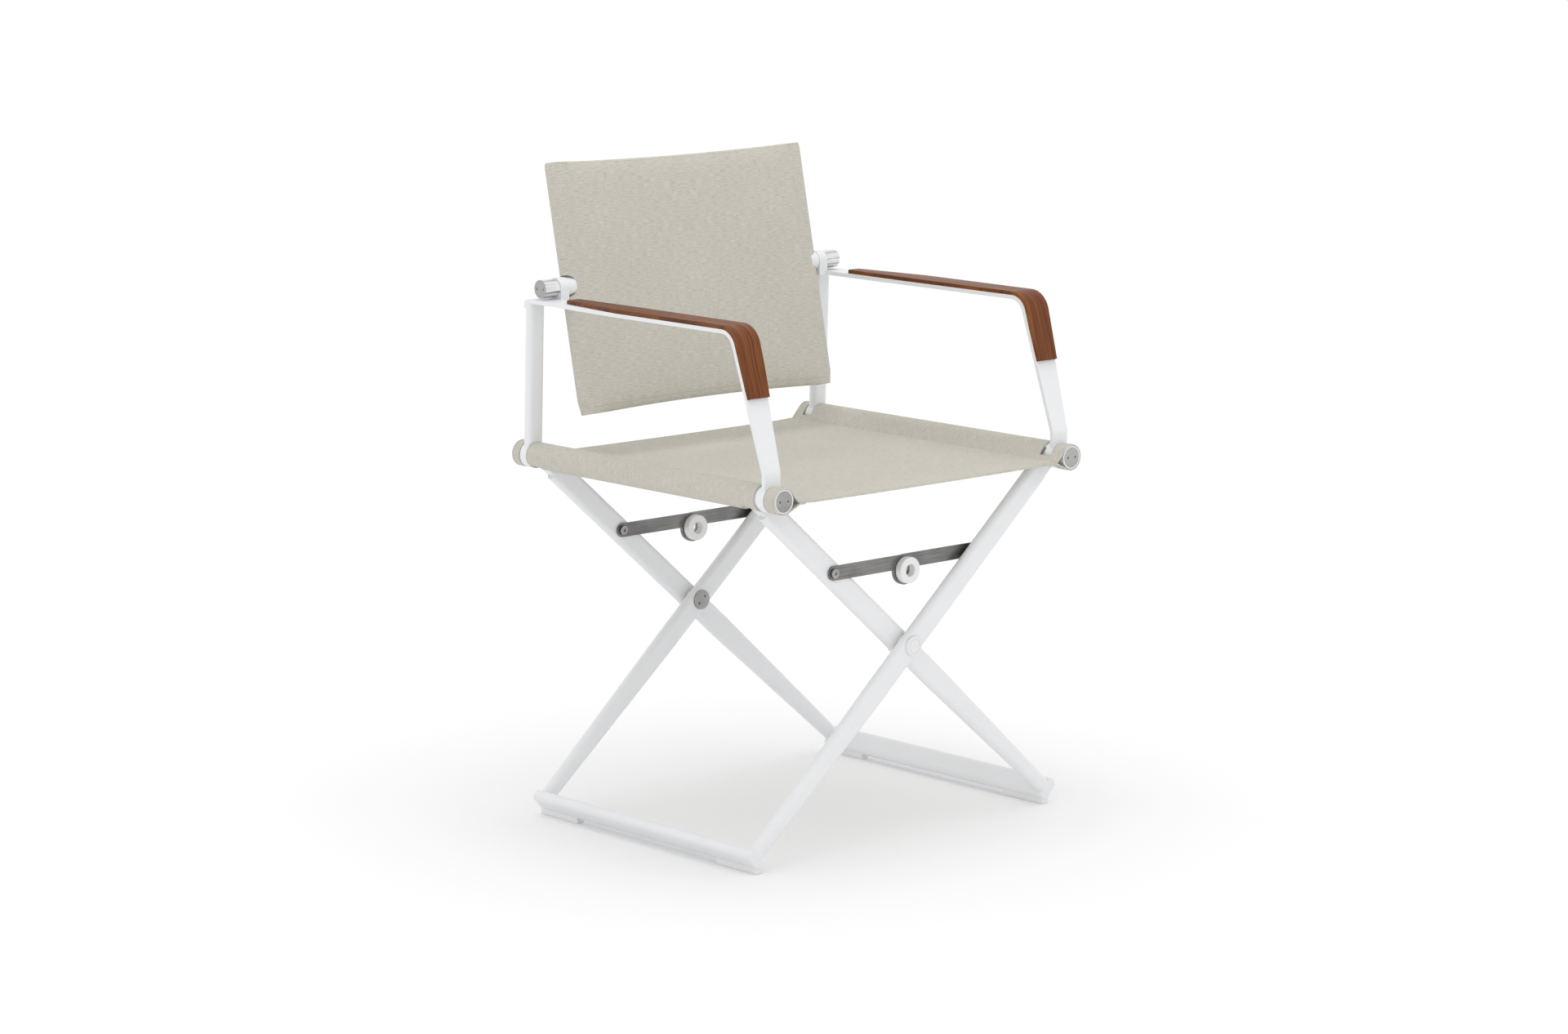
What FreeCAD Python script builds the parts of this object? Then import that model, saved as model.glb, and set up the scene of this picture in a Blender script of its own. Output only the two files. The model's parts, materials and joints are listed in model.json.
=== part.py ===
import FreeCAD, Part
import math
import os

# Folding director chair with an aluminium frame, sling seat, sling back and wooden armrests.
# Millimetres. +Z is up, the chair faces -Y, +X is the sitter's left.
# The origin is on the floor at the middle of the chair.

Vector = FreeCAD.Vector
X_DIR, Y_DIR, Z_DIR = Vector(1, 0, 0), Vector(0, 1, 0), Vector(0, 0, 1)

# ---------------------------------------------------------------- driving dimensions
RAIL_HEIGHT = 470.0          # seat rail axis above the floor
RAIL_X = 249.5               # seat rail axis from the middle plane
FOOT_X = 266.0               # foot bar axis from the middle plane
RAIL_LENGTH = 507.0          # length of the rail tubes, which are centred on the chair
ARM_RISE = 203.5             # top of the arm strip above the rail axis
BACK_RISE = 156.4            # top edge of the back sling above its pivots
BACK_LENGTH = 327.0          # height of the back sling along its lean
BACK_LEAN = 11.9             # lean of the back from upright, degrees

# ---------------------------------------------------------------- seat rails
RAIL_R = 15.0
RAIL_WALL = 1.5
RAIL_SPLIT = (30, 100)       # where the tube's faces join, degrees, clear of its slots
AXLE_R = 5.0                 # hinge rod inside each rail
PLUG_T = 3.0                 # steel disc in the end of a rail
PLUG_STEM = 9.0              # length of the stem that holds the rod
PLUG_STEM_WALL = 3.0
SPANNER_HOLE_R = 1.5
SPANNER_HOLE_GAP = 13.0      # centre to centre
SPANNER_HOLE_DEPTH = 1.5

# ---------------------------------------------------------------- leg frames
LEG_INSET = 40.2             # rail end to the nearer leg axis of the outer frame
LEG_W = 31.5                 # oval tube, wide way
LEG_T = 15.0                 # oval tube, thin way
LEG_WALL = 1.5
LEG_GAP = 3.0                # between the two frames where they cross
LEG_FOOT_W = 20.0            # wide way where a leg stands on the foot bar
FLARE = 280.0                # length over which the leg widens from there
FOOT_END_R = 2.5             # rounding of the foot bar's ends
TONGUE_W = 20.0              # narrow end of a leg that enters the rail
SHOULDER = 30.0              # rail axis to the full width of the leg
EYE_ROOM = 1.3               # hinge eye to the inside of the rail
PAD_T = 5.5                  # glide thickness under the foot bar
PAD_L = 74.0
PAD_W = 11.0
PAD_EDGE_R = 1.0
PAD_INSET = 1.5              # end of the foot bar to the end of a glide

# ---------------------------------------------------------------- cross pivots
PIN_R = 5.0
PIN_HEAD_R = 13.0
PIN_HEAD_T = 2.0
CAP_T = 3.0
CAP_EDGE_R = 1.0
CAP_GROOVE_R = 9.3           # outside of the turned ring in a cap
CAP_GROOVE_W = 0.8
CAP_GROOVE_DEPTH = 0.5
WASHER_T = 2.4
WASHER_R = 12.0

# ---------------------------------------------------------------- folding stays
STAY_PIVOT_X = 122.0         # end pivots from the middle plane, on the leg axes
STAY_W = 18.5
STAY_T = 2.0
STAY_FRONT_GAP = 0.5         # bar of frame B in front of its leg
LOBE_R = 19.5                # round lobe at the knuckle
LOBE_DROP = 10.25            # knuckle centre below the bar axis
RING_R = 17.0
RING_HOLE_R = 8.0
RING_T = 10.0
RING_EDGE_R = 1.2
FLANGE_T = 2.0
FLANGE_EDGE_R = 0.6
SCREW_R = 3.0
SCREW_HEAD_R = 6.0
SCREW_HEAD_T = 2.5
SHOULDER_R = 5.0             # screw shoulder that spaces a stay from its leg
HEX_R = 2.6
HEX_DEPTH = 1.4

# ---------------------------------------------------------------- arms
ARM_W = 40.0
ARM_T = 5.0
ARM_BEND_R = 23.5            # centre line of the bend over the front post
ARM_KNEE_R = 14.0            # centre line where the front post turns upright
ARM_REAR_R = 4.5             # centre line of the bend over the rear post
ARM_REAR_W = 33.0            # width of the arm over the rear post
TAPER_START = 165.4          # where its outer edge starts to come in, in front of the back pivots
TAPER_END = 35.4             # and where it stops
POST_FOOT_W = 26.5           # width of the front post at its foot
POST_KNEE = 31.7             # rail axis to the point where the post turns upright
POST_FULL = 185.0            # rail axis to the full width of the arm
FRONT_POST_INSET = 23.6      # rail end to the foot of the front post
FRONT_POST_LEAN = 51.5       # its top behind its foot
FRONT_RING_INSET = 26.0      # rail end to the collar round it
REAR_POST_INSET = 22.0       # rail end to the foot of the rear post
REAR_POST_LEAN = 7.5         # its top in front of its foot
REAR_POST_W = 26.0
REAR_POST_T = 13.0
RAIL_RING_WALL = 1.8
RAIL_RING_W = 12.0
WOOD_SIDE_GAP = 0.4          # side of the wood to the side of the arm strip
WOOD_IN_GAP = 1.5            # on the inner side over the arm
WOOD_REAR_W = 18.0           # width at its rear end
WOOD_REAR_IN = 15.0          # middle of the arm to the inner side there
WOOD_T = 5.0
WOOD_END_GAP = 52.4          # rear end of the wood in front of the back pivots
WOOD_DROP = 83.2             # lower end of the wood below the top of the arm strip
WOOD_EDGE_R = 1.5
WOOD_EDGE_SHARE = 0.75       # share of the thickness that lies below the rounded edges

# ---------------------------------------------------------------- back
PIVOT_INSET = 18.6           # back pivots in front of the top of the rear post
PIVOT_ABOVE_ARM = 14.1       # pivot axis above the top of the arm strip
LUG_INSET = 31.1             # arm axis to the inner face of the lug
LUG_T = 13.5
LUG_R = 13.0
KNOB_L = 23.9
KNOB_R = 11.9
BOLT_R = 4.0
COLLAR_R = 12.5
BACK_BAR_R = 8.0
BACK_BAR_WALL = 1.5
BACK_BAR_EDGE = 12.5         # bar axis to the side edge of the sling
BACK_POCKET_IN = 11.0        # bar axis to the inner seam of the pocket
BACK_POCKET_CLOTH = 1.8
BACK_PANEL_T = 4.0           # two layers of cloth
BACK_BAR_INSET = 6.0         # bar ends inside the hems
BACK_NOTCH_R = 14.5          # cut-out round the collar

# ---------------------------------------------------------------- seat sling
SLEEVE_T = 1.7
SEAM_REACH = 25.5            # rail axis to the seam that closes the loop round the rail
SEAM_DROP = 5.1              # seam below the rail axis
SEAM_DEPTH = 3.7             # double cloth at the seam
SEAT_PANEL_T = 2.2
FRONT_RING_GAP = 5.5         # front ring to the long sleeve behind it
REAR_RING_GAP = 1.5          # long sleeve to the rear ring
SHORT_RING_GAP = 2.0         # rings to the short sleeves at the rail ends
LEG_SLOT_SIDE = 2.0          # room each side of a leg in its slot of the cloth
LEG_SLOT_IN = 2.0            # seam to the slot
LEG_SLOT_RISE = 1.2          # top of the slot above the seam

# ---------------------------------------------------------------- clearances
RUN = 0.05                   # radial, turning fits
FACE = 0.4                   # between faces that slide past each other
STAY_FACE = 0.3              # between the two bars of a stay
BACK_SIDE_GAP = 0.9          # side edge of the back to the lug
RAIL_SLOT_ROOM = 1.0         # leg end to the edge of its slot in the rail
SLEEVE_ROOM = 0.5            # radial, cloth round a rail
POCKET_ROOM = 0.2            # radial, cloth pocket round a side bar
HALF_GAP = 0.4               # half sling to the middle plane
TINY = 1e-6

# ---------------------------------------------------------------- derived places
RAIL_FRONT, RAIL_REAR = -RAIL_LENGTH / 2, RAIL_LENGTH / 2
LEG_PITCH = LEG_T + LEG_GAP
FRONT_A = RAIL_FRONT + LEG_INSET                           # leg axes in Y, frame A then frame B
REAR_A = RAIL_REAR - LEG_INSET - LEG_PITCH
FRONT_B, REAR_B = -REAR_A, -FRONT_A
FRAME_DEPTH = REAR_A - FRONT_A

ARM_HEIGHT = RAIL_HEIGHT + ARM_RISE
ARM_AXIS_HEIGHT = ARM_HEIGHT - ARM_T / 2
FRONT_POST_FOOT_Y = RAIL_FRONT + FRONT_POST_INSET
FRONT_POST_TOP_Y = FRONT_POST_FOOT_Y + FRONT_POST_LEAN
FRONT_RING_Y = RAIL_FRONT + FRONT_RING_INSET
REAR_POST_FOOT_Y = RAIL_REAR - REAR_POST_INSET
REAR_POST_TOP_Y = REAR_POST_FOOT_Y - REAR_POST_LEAN

PIVOT_Y = REAR_POST_TOP_Y - PIVOT_INSET
PIVOT_HEIGHT = ARM_HEIGHT + PIVOT_ABOVE_ARM
LUG_IN_X = RAIL_X - LUG_INSET
LUG_OUT_X = LUG_IN_X + LUG_T
KNOB_OUT_X = LUG_OUT_X + KNOB_L
BACK_HALF_W = LUG_IN_X - BACK_SIDE_GAP
BACK_BAR_X = BACK_HALF_W - BACK_BAR_EDGE
BACK_POCKET_IN_X = BACK_BAR_X - BACK_POCKET_IN
BACK_POCKET_T = 2 * (BACK_BAR_R + POCKET_ROOM + BACK_POCKET_CLOTH)
LEAN = math.radians(BACK_LEAN)
BACK_UP = Vector(0, math.sin(LEAN), math.cos(LEAN))
BACK_OUT = Vector(0, math.cos(LEAN), -math.sin(LEAN))      # square to the back, to the rear
BACK_TOP = BACK_RISE / math.cos(LEAN)                      # edges of the sling along its lean
BACK_BOTTOM = BACK_TOP - BACK_LENGTH

SLEEVE_R = RAIL_R + SLEEVE_ROOM + SLEEVE_T                 # outside of the cloth round a rail
SEAM_X = RAIL_X - SEAM_REACH
SEAM_HEIGHT = RAIL_HEIGHT - SEAM_DROP

EYE_R = RAIL_R - RAIL_WALL - EYE_ROOM                      # hinge eye of a leg
OUTER_FRONT_Y = FRONT_A - LEG_T / 2                        # front leg of frame A: outer face
GAP_FRONT_Y = FRONT_A + LEG_T / 2                          # and inner face, at the gap
INNER_FRONT_Y = FRONT_B + LEG_T / 2                        # front leg of frame B: inner face
OUTER_REAR_Y = REAR_B + LEG_T / 2                          # rear leg of frame B: outer face
STAY_B_Y = FRONT_B - LEG_T / 2 - STAY_FRONT_GAP - STAY_T   # front faces of the front stay's bars
STAY_A_Y = STAY_B_Y + STAY_T + STAY_FACE


def foot_height():
    """Foot bar axis above the floor: the lowest point of its tilted oval rests on the glides."""
    height = RAIL_HEIGHT
    for _ in range(20):
        slope = math.atan2(RAIL_X + FOOT_X, RAIL_HEIGHT - height)
        height = PAD_T + LEG_T / 2 + (LEG_W - LEG_T) / 2 * math.sin(slope)
    return height


FOOT_HEIGHT = foot_height()
FOOT_A = Vector(-FOOT_X, 0, FOOT_HEIGHT)
TOP_A = Vector(RAIL_X, 0, RAIL_HEIGHT)
LEG_LENGTH = (TOP_A - FOOT_A).Length
LEG_UP = (TOP_A - FOOT_A).normalize()                      # along the legs of frame A
LEG_SIDE = Vector(-LEG_UP.z, 0, LEG_UP.x)                  # across them, wide way
CROSS_HEIGHT = FOOT_HEIGHT + FOOT_X * LEG_UP.z / LEG_UP.x
STAY_HEIGHT = CROSS_HEIGHT + STAY_PIVOT_X * LEG_UP.z / LEG_UP.x
KNUCKLE_HEIGHT = STAY_HEIGHT - LOBE_DROP


# ---------------------------------------------------------------- helpers
def shifted(shape, offset):
    copy = shape.copy()
    copy.translate(offset)
    return copy


def cylinder(radius, start, end):
    axis = end - start
    return Part.makeCylinder(radius, axis.Length, start, axis)


def y_cylinder(radius, x, z, y0, y1):
    return cylinder(radius, Vector(x, y0, z), Vector(x, y1, z))


def x_cylinder(radius, y, z, x0, x1):
    return cylinder(radius, Vector(x0, y, z), Vector(x1, y, z))


def box(x0, x1, y0, y1, z0, z1):
    return Part.makeBox(x1 - x0, y1 - y0, z1 - z0, Vector(x0, y0, z0))


def stadium(centre, wide, thin, width, thickness):
    """Oval wire: two straight sides joined by half circles."""
    r = thickness / 2
    h = wide * ((width - thickness) / 2)
    side = thin * r
    end = wide * r
    a, b, c, d = centre - h + side, centre + h + side, centre + h - side, centre - h - side
    return Part.Wire([
        Part.LineSegment(a, b).toShape(),
        Part.Arc(b, centre + h + end, c).toShape(),
        Part.LineSegment(c, d).toShape(),
        Part.Arc(d, centre - h - end, a).toShape(),
    ])


def oval_bar(start, end, wide, thin, width, thickness):
    wire = stadium(start, wide, thin, width, thickness)
    return Part.Face(wire).extrude(end - start)


def mirrored(shape):
    return shape.mirror(Vector(0, 0, 0), X_DIR)


def turned(shape):
    """The same piece on the other leg frame: half a turn about the vertical."""
    copy = shape.copy()
    copy.rotate(Vector(0, 0, 0), Z_DIR, 180)
    return copy


def bent_outline(points, radii, offset):
    """Edges of an open path in the YZ plane, moved sideways by offset, with rounded corners.

    points are (y, z); radii are the centre line radii at the inner points.
    A positive offset is to the left of the path's direction.
    """
    def unit(p, q):
        length = math.hypot(q[0] - p[0], q[1] - p[1])
        return ((q[0] - p[0]) / length, (q[1] - p[1]) / length)

    directions = [unit(p, q) for p, q in zip(points, points[1:])]
    moved = [(points[0][0] - directions[0][1] * offset, points[0][1] + directions[0][0] * offset)]
    for i in range(1, len(points) - 1):
        (ux, uz), (vx, vz) = directions[i - 1], directions[i]
        nx, nz = -uz - vz, ux + vx
        scale = offset / (1 + ux * vx + uz * vz)
        moved.append((points[i][0] + nx * scale, points[i][1] + nz * scale))
    last = directions[-1]
    moved.append((points[-1][0] - last[1] * offset, points[-1][1] + last[0] * offset))

    edges, start = [], moved[0]
    for i in range(1, len(points) - 1):
        (ux, uz), (vx, vz) = directions[i - 1], directions[i]
        turn = ux * vz - uz * vx                       # positive to the left
        radius = radii[i - 1] - (offset if turn > 0 else -offset)
        half = math.acos(ux * vx + uz * vz) / 2
        reach = radius * math.tan(half)
        corner = moved[i]
        first = (corner[0] - ux * reach, corner[1] - uz * reach)
        second = (corner[0] + vx * reach, corner[1] + vz * reach)
        bx, bz = vx - ux, vz - uz
        size = math.hypot(bx, bz)
        depth = radius / math.cos(half) - radius
        middle = (corner[0] + bx / size * depth, corner[1] + bz / size * depth)
        edges.append((start, first))
        edges.append((first, middle, second))
        start = second
    edges.append((start, moved[-1]))
    return edges


def bent_strip(points, radii, inner, outer, x_middle, width):
    """Bar of constant section that follows a bent path; inner and outer are sideways offsets."""
    x0 = x_middle - width / 2

    def at(p):
        return Vector(x0, p[0], p[1])

    def shapes(edges):
        made = []
        for edge in edges:
            if len(edge) == 2:
                made.append(Part.LineSegment(at(edge[0]), at(edge[1])).toShape())
            else:
                made.append(Part.Arc(at(edge[0]), at(edge[1]), at(edge[2])).toShape())
        return made

    low = bent_outline(points, radii, inner)
    high = bent_outline(points, radii, outer)
    close_a = Part.LineSegment(at(low[0][0]), at(high[0][0])).toShape()
    close_b = Part.LineSegment(at(low[-1][-1]), at(high[-1][-1])).toShape()
    wire = Part.Wire(Part.__sortEdges__(shapes(low) + shapes(high) + [close_a, close_b]))
    return Part.Face(wire).extrude(Vector(width, 0, 0))


def disc_with_holes(radius, thickness, centre, outward, across):
    """Steel disc with two blind spanner holes in its outer face; centre is on that face."""
    body = Part.makeCylinder(radius, thickness, centre, outward * -1)
    for side in (-1, 1):
        spot = centre + across * (side * SPANNER_HOLE_GAP / 2)
        body = body.cut(Part.makeCylinder(SPANNER_HOLE_R, SPANNER_HOLE_DEPTH, spot, outward * -1))
    return body


def fuse(shapes):
    """One solid from pieces that overlap or share faces."""
    result = shapes[0]
    for shape in shapes[1:]:
        result = result.fuse(shape)
    return result.removeSplitter()


# ---------------------------------------------------------------- seat rail, left side
def leg_slot(y):
    """Room in the wall of the left rail for the end of a leg, over the whole of its swing."""
    room = LEG_T / 2 + FACE
    reach = RAIL_R + RAIL_SLOT_ROOM
    return box(RAIL_X - reach, RAIL_X + TONGUE_W / 2 + RAIL_SLOT_ROOM, y - room, y + room,
               RAIL_HEIGHT - reach, RAIL_HEIGHT + TONGUE_W / 2)


def rail_core(radius):
    """Round bar the length of the rail, whose faces join clear of the slots."""
    def rim(degrees):
        angle = math.radians(degrees)
        return Vector(RAIL_X + radius * math.cos(angle), RAIL_FRONT, RAIL_HEIGHT + radius * math.sin(angle))

    first, second = RAIL_SPLIT
    wire = Part.Wire([
        Part.Arc(rim(first), rim((first + second) / 2), rim(second)).toShape(),
        Part.Arc(rim(second), rim((second + first) / 2 + 180), rim(first)).toShape(),
    ])
    return Part.Face(wire).extrude(Y_DIR * RAIL_LENGTH)


def rail(leg_places):
    tube = rail_core(RAIL_R).cut(rail_core(RAIL_R - RAIL_WALL))
    for y in leg_places:
        tube = tube.cut(leg_slot(y))
    return tube


def rail_axle():
    return y_cylinder(AXLE_R, RAIL_X, RAIL_HEIGHT, RAIL_FRONT + PLUG_T, RAIL_REAR - PLUG_T)


def rail_plugs():
    """Steel end discs with a stem that carries the rod."""
    plugs = []
    for end, outward in ((RAIL_FRONT, Y_DIR * -1), (RAIL_REAR, Y_DIR)):
        radius = RAIL_R - RAIL_WALL
        face = Vector(RAIL_X, end, RAIL_HEIGHT)
        disc = disc_with_holes(radius, PLUG_T, face, outward, X_DIR)
        back = face - outward * PLUG_T
        stem = Part.makeCylinder(AXLE_R + PLUG_STEM_WALL, PLUG_STEM, back, outward * -1)
        stem = stem.cut(Part.makeCylinder(AXLE_R, PLUG_STEM, back, outward * -1))
        plugs.append(fuse([disc, stem]))
    return Part.makeCompound(plugs)


def rail_rings():
    """Collars that tie the arm posts to the rail."""
    rings = []
    for y in (FRONT_RING_Y, REAR_POST_FOOT_Y):
        outer = y_cylinder(RAIL_R + RAIL_RING_WALL, RAIL_X, RAIL_HEIGHT,
                           y - RAIL_RING_W / 2, y + RAIL_RING_W / 2)
        rings.append(outer.cut(y_cylinder(RAIL_R, RAIL_X, RAIL_HEIGHT,
                                          y - RAIL_RING_W / 2, y + RAIL_RING_W / 2)))
    return Part.makeCompound(rings)


# ---------------------------------------------------------------- arm, left side
def arm_path():
    """Centre line of the arm strip in (y, z): up the front post, back, down to the rear post."""
    rear = REAR_POST_TOP_Y + REAR_POST_T / 2 - ARM_T / 2
    return [(FRONT_POST_FOOT_Y, RAIL_HEIGHT),
            (FRONT_POST_FOOT_Y, RAIL_HEIGHT + POST_KNEE),
            (FRONT_POST_TOP_Y, ARM_AXIS_HEIGHT),
            (rear, ARM_AXIS_HEIGHT),
            (rear, ARM_AXIS_HEIGHT - 2 * ARM_REAR_R)]


def front_outline(gap):
    """Room seen from the front: narrow at the foot of the post, full width at the arm, less gap a side."""
    knee = RAIL_HEIGHT + POST_KNEE
    full = RAIL_HEIGHT + POST_FULL
    top = ARM_HEIGHT + ARM_W
    half_foot, half_arm = POST_FOOT_W / 2 - gap, ARM_W / 2 - gap
    outline = [(-half_foot, RAIL_HEIGHT), (half_foot, RAIL_HEIGHT), (half_foot, knee), (half_arm, full),
               (half_arm, top), (-half_arm, top), (-half_arm, full), (-half_foot, knee)]
    corners = [Vector(RAIL_X + x, RAIL_FRONT, z) for x, z in outline]
    return Part.Face(Part.makePolygon(corners + corners[:1])).extrude(Y_DIR * RAIL_LENGTH)


def plan_outline(inner, outer, rear_inner, rear_outer):
    """Room seen from above, between distances from the arm's middle, which change over the taper."""
    start, end = PIVOT_Y - TAPER_START, PIVOT_Y - TAPER_END
    outline = [(-inner, RAIL_FRONT), (outer, RAIL_FRONT), (outer, start), (rear_outer, end),
               (rear_outer, RAIL_REAR), (-rear_inner, RAIL_REAR), (-rear_inner, end), (-inner, start)]
    corners = [Vector(RAIL_X + x, y, RAIL_HEIGHT) for x, y in outline]
    return Part.Face(Part.makePolygon(corners + corners[:1])).extrude(Z_DIR * RAIL_HEIGHT)


def arm_strip():
    radii = [ARM_KNEE_R, ARM_BEND_R, ARM_REAR_R]
    strip = bent_strip(arm_path(), radii, -ARM_T / 2, ARM_T / 2, RAIL_X, ARM_W)
    half = ARM_W / 2
    strip = strip.common(front_outline(0)).common(plan_outline(half, half, half, ARM_REAR_W - half))
    ring = y_cylinder(RAIL_R + RAIL_RING_WALL, RAIL_X, RAIL_HEIGHT, RAIL_FRONT - ARM_W, 0)
    return strip.cut(ring)


def rear_post():
    foot = Vector(RAIL_X, REAR_POST_FOOT_Y, RAIL_HEIGHT)
    top = Vector(RAIL_X, REAR_POST_TOP_Y, ARM_HEIGHT - ARM_T / 2)
    post = oval_bar(foot, top, X_DIR, Y_DIR, REAR_POST_W, REAR_POST_T)
    ring = y_cylinder(RAIL_R + RAIL_RING_WALL, RAIL_X, RAIL_HEIGHT, 0, RAIL_REAR + ARM_W)
    return post.cut(ring).cut(arm_strip())


def armrest():
    """Wooden strip on the arm, round the bend and down the front post."""
    knee, top, rear = arm_path()[1:4]
    slope = (top[0] - knee[0]) / (top[1] - knee[1])
    low = ARM_HEIGHT - WOOD_DROP
    path = [(top[0] - slope * (top[1] - low), low), top, (PIVOT_Y - WOOD_END_GAP, rear[1])]
    sizes = ([ARM_BEND_R], ARM_T / 2)
    wood = bent_strip(path, *sizes, ARM_T / 2 + WOOD_T, RAIL_X, ARM_W)
    under = bent_strip(path, *sizes, ARM_T / 2 + WOOD_T * WOOD_EDGE_SHARE, RAIL_X, ARM_W)
    half = ARM_W / 2
    plan = plan_outline(half - WOOD_IN_GAP, half - WOOD_SIDE_GAP, WOOD_REAR_IN, WOOD_REAR_W - WOOD_REAR_IN)
    wood = wood.common(front_outline(WOOD_SIDE_GAP)).common(plan)

    def is_side(edge):
        middle = edge.valueAt((edge.FirstParameter + edge.LastParameter) / 2)
        return edge.BoundBox.XLength < edge.Length / 2 and not under.isInside(middle, TINY, True)

    return wood.makeFillet(WOOD_EDGE_R, [edge for edge in wood.Edges if is_side(edge)])


def back_lug():
    """Plate on the inner edge of the arm that carries the back pivot."""
    base = box(LUG_IN_X, LUG_OUT_X, PIVOT_Y - LUG_R, PIVOT_Y + LUG_R, ARM_HEIGHT - ARM_T, PIVOT_HEIGHT)
    head = x_cylinder(LUG_R, PIVOT_Y, PIVOT_HEIGHT, LUG_IN_X, LUG_OUT_X)
    lug = fuse([base, head])
    bore = x_cylinder(BOLT_R, PIVOT_Y, PIVOT_HEIGHT, LUG_IN_X, LUG_OUT_X)
    return lug.cut(bore).cut(arm_strip())


def back_bolt():
    """Pivot bolt: a steel knob outside the lug and a shank into the collar."""
    face = Vector(KNOB_OUT_X, PIVOT_Y, PIVOT_HEIGHT)
    knob = disc_with_holes(KNOB_R, KNOB_OUT_X - LUG_OUT_X, face, X_DIR, Y_DIR)
    shank = x_cylinder(BOLT_R, PIVOT_Y, PIVOT_HEIGHT, BACK_BAR_X, LUG_OUT_X)
    return fuse([knob, shank])


# ---------------------------------------------------------------- seat sling, left half
def sleeve_outline(radius, tip):
    """Loop of cloth: round the rail and drawn in to the seam."""
    centre = Vector(RAIL_X, 0, RAIL_HEIGHT)
    to_tip = tip - centre
    spread = math.acos(radius / to_tip.Length)
    bearing = math.atan2(to_tip.z, to_tip.x)
    points = []
    for angle in (bearing + spread, bearing + math.pi, bearing - spread):
        points.append(centre + Vector(math.cos(angle), 0, math.sin(angle)) * radius)
    return Part.Wire([
        Part.Arc(points[0], points[1], points[2]).toShape(),
        Part.LineSegment(points[2], tip).toShape(),
        Part.LineSegment(tip, points[0]).toShape(),
    ])


def loop(y0, y1):
    seam = Vector(SEAM_X, 0, SEAM_HEIGHT)
    reach = (seam - Vector(RAIL_X, 0, RAIL_HEIGHT)).normalize()
    outer = Part.Face(sleeve_outline(SLEEVE_R, seam))
    inner = Part.Face(sleeve_outline(SLEEVE_R - SLEEVE_T, seam - reach * SEAM_DEPTH))
    solid = outer.extrude(Vector(0, y1 - y0, 0)).cut(inner.extrude(Vector(0, y1 - y0, 0)))
    return shifted(solid, Vector(0, y0, 0))


def seat_sleeve(leg_places):
    """Cloth round the rail in three lengths, open where rings and legs pass."""
    half_ring = RAIL_RING_W / 2
    long_part = loop(FRONT_RING_Y + half_ring + FRONT_RING_GAP,
                     REAR_POST_FOOT_Y - half_ring - REAR_RING_GAP)
    for y in leg_places:
        room = LEG_T / 2 + LEG_SLOT_SIDE
        long_part = long_part.cut(box(SEAM_X + LEG_SLOT_IN, RAIL_X + TONGUE_W / 2 + LEG_SLOT_SIDE,
                                      y - room, y + room,
                                      RAIL_HEIGHT - 2 * SLEEVE_R, SEAM_HEIGHT + LEG_SLOT_RISE))
    lengths = [loop(RAIL_FRONT, FRONT_RING_Y - half_ring - SHORT_RING_GAP), long_part,
               loop(REAR_POST_FOOT_Y + half_ring + SHORT_RING_GAP, RAIL_REAR)]
    return Part.makeCompound([solid for length in lengths for solid in length.Solids])


def seat_panel():
    """Half of the seat between the seam and the middle of the chair."""
    half = SEAT_PANEL_T / 2
    return box(HALF_GAP, SEAM_X - FACE, RAIL_FRONT, RAIL_REAR, SEAM_HEIGHT - half, SEAM_HEIGHT + half)


# ---------------------------------------------------------------- back sling, left half
def back_point(x, up, out):
    """Point of the back: up along its lean from the pivot, out square to it."""
    return Vector(x, PIVOT_Y, PIVOT_HEIGHT) + BACK_UP * up + BACK_OUT * out


def back_bar():
    start = back_point(BACK_BAR_X, BACK_BOTTOM + BACK_BAR_INSET, 0)
    end = back_point(BACK_BAR_X, BACK_TOP - BACK_BAR_INSET, 0)
    tube = cylinder(BACK_BAR_R, start, end).cut(cylinder(BACK_BAR_R - BACK_BAR_WALL, start, end))
    bore = x_cylinder(BOLT_R + RUN, PIVOT_Y, PIVOT_HEIGHT, BACK_BAR_X - FACE, BACK_HALF_W)
    return tube.cut(bore)


def back_collar():
    outer = x_cylinder(COLLAR_R, PIVOT_Y, PIVOT_HEIGHT, BACK_BAR_X, LUG_IN_X - FACE)
    bore = x_cylinder(BOLT_R + RUN, PIVOT_Y, PIVOT_HEIGHT, BACK_BAR_X, LUG_IN_X)
    bar = cylinder(BACK_BAR_R, back_point(BACK_BAR_X, -2 * COLLAR_R, 0),
                   back_point(BACK_BAR_X, 2 * COLLAR_R, 0))
    pieces = outer.cut(bore).cut(bar).Solids
    return max(pieces, key=lambda solid: solid.Volume)


def back_pocket():
    """Cloth pocket round the side bar, with a half-round cut-out at the collar."""
    width = BACK_HALF_W - BACK_POCKET_IN_X
    middle = BACK_POCKET_IN_X + width / 2
    start = back_point(middle, BACK_BOTTOM, 0)
    end = back_point(middle, BACK_TOP, 0)
    outer = oval_bar(start, end, X_DIR, BACK_OUT, width, BACK_POCKET_T)
    bar = cylinder(BACK_BAR_R + POCKET_ROOM, start + X_DIR * (BACK_BAR_X - middle),
                   end + X_DIR * (BACK_BAR_X - middle))
    notch = x_cylinder(BACK_NOTCH_R, PIVOT_Y, PIVOT_HEIGHT, BACK_BAR_X - FACE, BACK_HALF_W)
    return outer.cut(bar).cut(notch)


def back_panel():
    """Half of the back between the pocket and the middle of the chair."""
    x0, x1 = HALF_GAP, BACK_POCKET_IN_X - FACE
    corner = back_point(x0, BACK_BOTTOM, -BACK_PANEL_T / 2)
    edges = [corner, corner + X_DIR * (x1 - x0)]
    edges += [edges[1] + BACK_OUT * BACK_PANEL_T, corner + BACK_OUT * BACK_PANEL_T]
    return Part.Face(Part.makePolygon(edges + edges[:1])).extrude(BACK_UP * BACK_LENGTH)


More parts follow.
